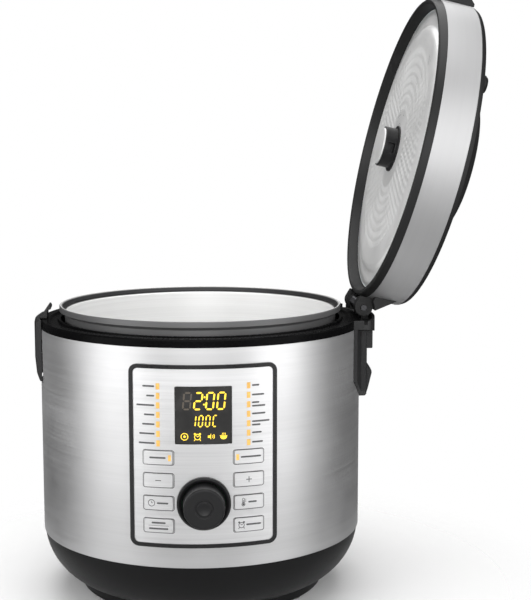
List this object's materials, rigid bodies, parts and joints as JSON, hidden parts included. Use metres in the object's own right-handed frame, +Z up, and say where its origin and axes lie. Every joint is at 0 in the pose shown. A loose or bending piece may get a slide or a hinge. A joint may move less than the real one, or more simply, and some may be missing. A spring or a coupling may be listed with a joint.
{
  "type": "electric multicooker",
  "caption": "Round countertop electric multicooker with a hinged latching lid, lift-out pot, brushed steel body and curved control panel with display and selector knob.",
  "frame": {"origin": "on the body axis, at the level of the worktop the feet stand on", "axes": "+Z up along the body axis, +X towards the lid hinge, the control panel faces -Y, the latch is at -X"},
  "size_m": [0.3853, 0.29, 0.5065],
  "materials": {
    "bowl_plastic": "fine satin texture",
    "deck_plastic": "gloss",
    "lid_plastic": "satin",
    "hinge_plastic": "satin",
    "latch_plastic": "satin",
    "brushed_steel": "brushed",
    "pot_metal": "satin ceramic-lined aluminium",
    "plate_metal": "pressed satin",
    "heater_metal": "machined",
    "galvanised_steel": "plain",
    "pin_steel": "polished",
    "rubber_feet": "matte",
    "seal_silicone": "satin",
    "panel_black": "gloss",
    "panel_silver": "brushed foil",
    "display_glass": "dark tint",
    "lamp_amber": "translucent",
    "button_silver": "brushed foil",
    "knob_black": "satin gloss",
    "board_green": "solder mask",
    "cup_plastic": "satin",
    "brass_pins": "plated"
  },
  "bodies": {
    "base": {"base_shell": "bowl_plastic", "body_skin": "brushed_steel", "bottom_plate": "galvanised_steel", "bottom_screws": "pin_steel", "control_board": "board_green", "deck": "deck_plastic", "display_module": "panel_black", "display_window": "display_glass", "feet": "rubber_feet", "heater_plate": "heater_metal", "heater_posts": "galvanised_steel", "hinge_collar": "hinge_plastic", "hinge_column": "hinge_plastic", "hinge_pin": "pin_steel", "hinge_spring": "pin_steel", "indicator_lamps": "lamp_amber", "inlet_pins": "brass_pins", "knob_bezel": "knob_black", "latch_bracket": "galvanised_steel", "latch_pin": "pin_steel", "panel_frame": "panel_black", "panel_plate": "panel_silver", "pot_shield": "galvanised_steel", "power_board": "board_green", "power_inlet": "bowl_plastic", "thermostat_holder": "galvanised_steel"},
    "lid": {"lid_ring": "lid_plastic", "lid_band": "brushed_steel", "lid_cover": "lid_plastic", "lid_liner": "lid_plastic", "lid_hinge_cover": "lid_plastic", "lid_latch_cover": "lid_plastic"},
    "lid_plate": {"inner_plate": "plate_metal", "lid_gasket": "seal_silicone", "plate_boss": "knob_black", "boss_disc": "plate_metal"},
    "steam_valve": {"steam_valve_cap": "lid_plastic"},
    "pot": {"inner_pot": "pot_metal"},
    "drip_cup": {"condensate_cup": "cup_plastic"},
    "latch": {"latch_lever": "latch_plastic"},
    "knob": {"selector_knob": "knob_black"},
    "sensor": {"thermostat": "heater_metal"},
    "left_button_1": {"button_left_1": "button_silver"},
    "left_button_2": {"button_left_2": "button_silver"},
    "left_button_3": {"button_left_3": "button_silver"},
    "left_button_4": {"button_left_4": "button_silver"},
    "right_button_1": {"button_right_1": "button_silver"},
    "right_button_2": {"button_right_2": "button_silver"},
    "right_button_3": {"button_right_3": "button_silver"},
    "right_button_4": {"button_right_4": "button_silver"}
  },
  "joints": [
    {"name": "lid_hinge", "type": "hinge", "parent": "base", "child": "lid", "pos_m": [0.1356, 0, 0.2397], "axis": [0, 1, 0], "range_deg": [-103.28, 0], "stiffness_Nm_per_rad": 0.5, "springref_deg": 20.05},
    {"name": "plate_pull", "type": "slide", "parent": "lid", "child": "lid_plate", "axis": [-0.9733, 0, 0.2297], "range_m": [0, 0.03]},
    {"name": "valve_pull", "type": "slide", "parent": "lid", "child": "steam_valve", "axis": [0.9733, 0, -0.2297], "range_m": [0, 0.02]},
    {"name": "pot_lift", "type": "slide", "parent": "base", "child": "pot", "axis": [0, 0, 1], "range_m": [0, 0.2]},
    {"name": "cup_pull", "type": "slide", "parent": "base", "child": "drip_cup", "axis": [1, 0, 0], "range_m": [0, 0.03]},
    {"name": "latch_press", "type": "hinge", "parent": "base", "child": "latch", "pos_m": [-0.13, 0, 0.208], "axis": [0, 1, 0], "range_deg": [-3, 0], "stiffness_Nm_per_rad": 0.8, "springref_deg": 5.73},
    {"name": "sensor_press", "type": "slide", "parent": "base", "child": "sensor", "axis": [0, 0, 1], "range_m": [-0.003, 0], "stiffness_N_per_m": 300, "springref_m": 0.002},
    {"name": "knob_turn", "type": "hinge", "parent": "base", "child": "knob", "pos_m": [-0.00562, -0.13989, 0.1056], "axis": [-0.0401, -0.9992, 0], "continuous": true},
    {"name": "left_button_1_press", "type": "slide", "parent": "base", "child": "left_button_1", "axis": [0.2917, 0.9565, 0], "range_m": [0, 0.0008], "stiffness_N_per_m": 500, "springref_m": -0.0008},
    {"name": "left_button_2_press", "type": "slide", "parent": "base", "child": "left_button_2", "axis": [0.2917, 0.9565, 0], "range_m": [0, 0.0008], "stiffness_N_per_m": 500, "springref_m": -0.0008},
    {"name": "left_button_3_press", "type": "slide", "parent": "base", "child": "left_button_3", "axis": [0.2917, 0.9565, 0], "range_m": [0, 0.0008], "stiffness_N_per_m": 500, "springref_m": -0.0008},
    {"name": "left_button_4_press", "type": "slide", "parent": "base", "child": "left_button_4", "axis": [0.2917, 0.9565, 0], "range_m": [0, 0.0008], "stiffness_N_per_m": 500, "springref_m": -0.0008},
    {"name": "right_button_1_press", "type": "slide", "parent": "base", "child": "right_button_1", "axis": [-0.2141, 0.9768, 0], "range_m": [0, 0.0008], "stiffness_N_per_m": 500, "springref_m": -0.0008},
    {"name": "right_button_2_press", "type": "slide", "parent": "base", "child": "right_button_2", "axis": [-0.2141, 0.9768, 0], "range_m": [0, 0.0008], "stiffness_N_per_m": 500, "springref_m": -0.0008},
    {"name": "right_button_3_press", "type": "slide", "parent": "base", "child": "right_button_3", "axis": [-0.2141, 0.9768, 0], "range_m": [0, 0.0008], "stiffness_N_per_m": 500, "springref_m": -0.0008},
    {"name": "right_button_4_press", "type": "slide", "parent": "base", "child": "right_button_4", "axis": [-0.2141, 0.9768, 0], "range_m": [0, 0.0008], "stiffness_N_per_m": 500, "springref_m": -0.0008}
  ]
}
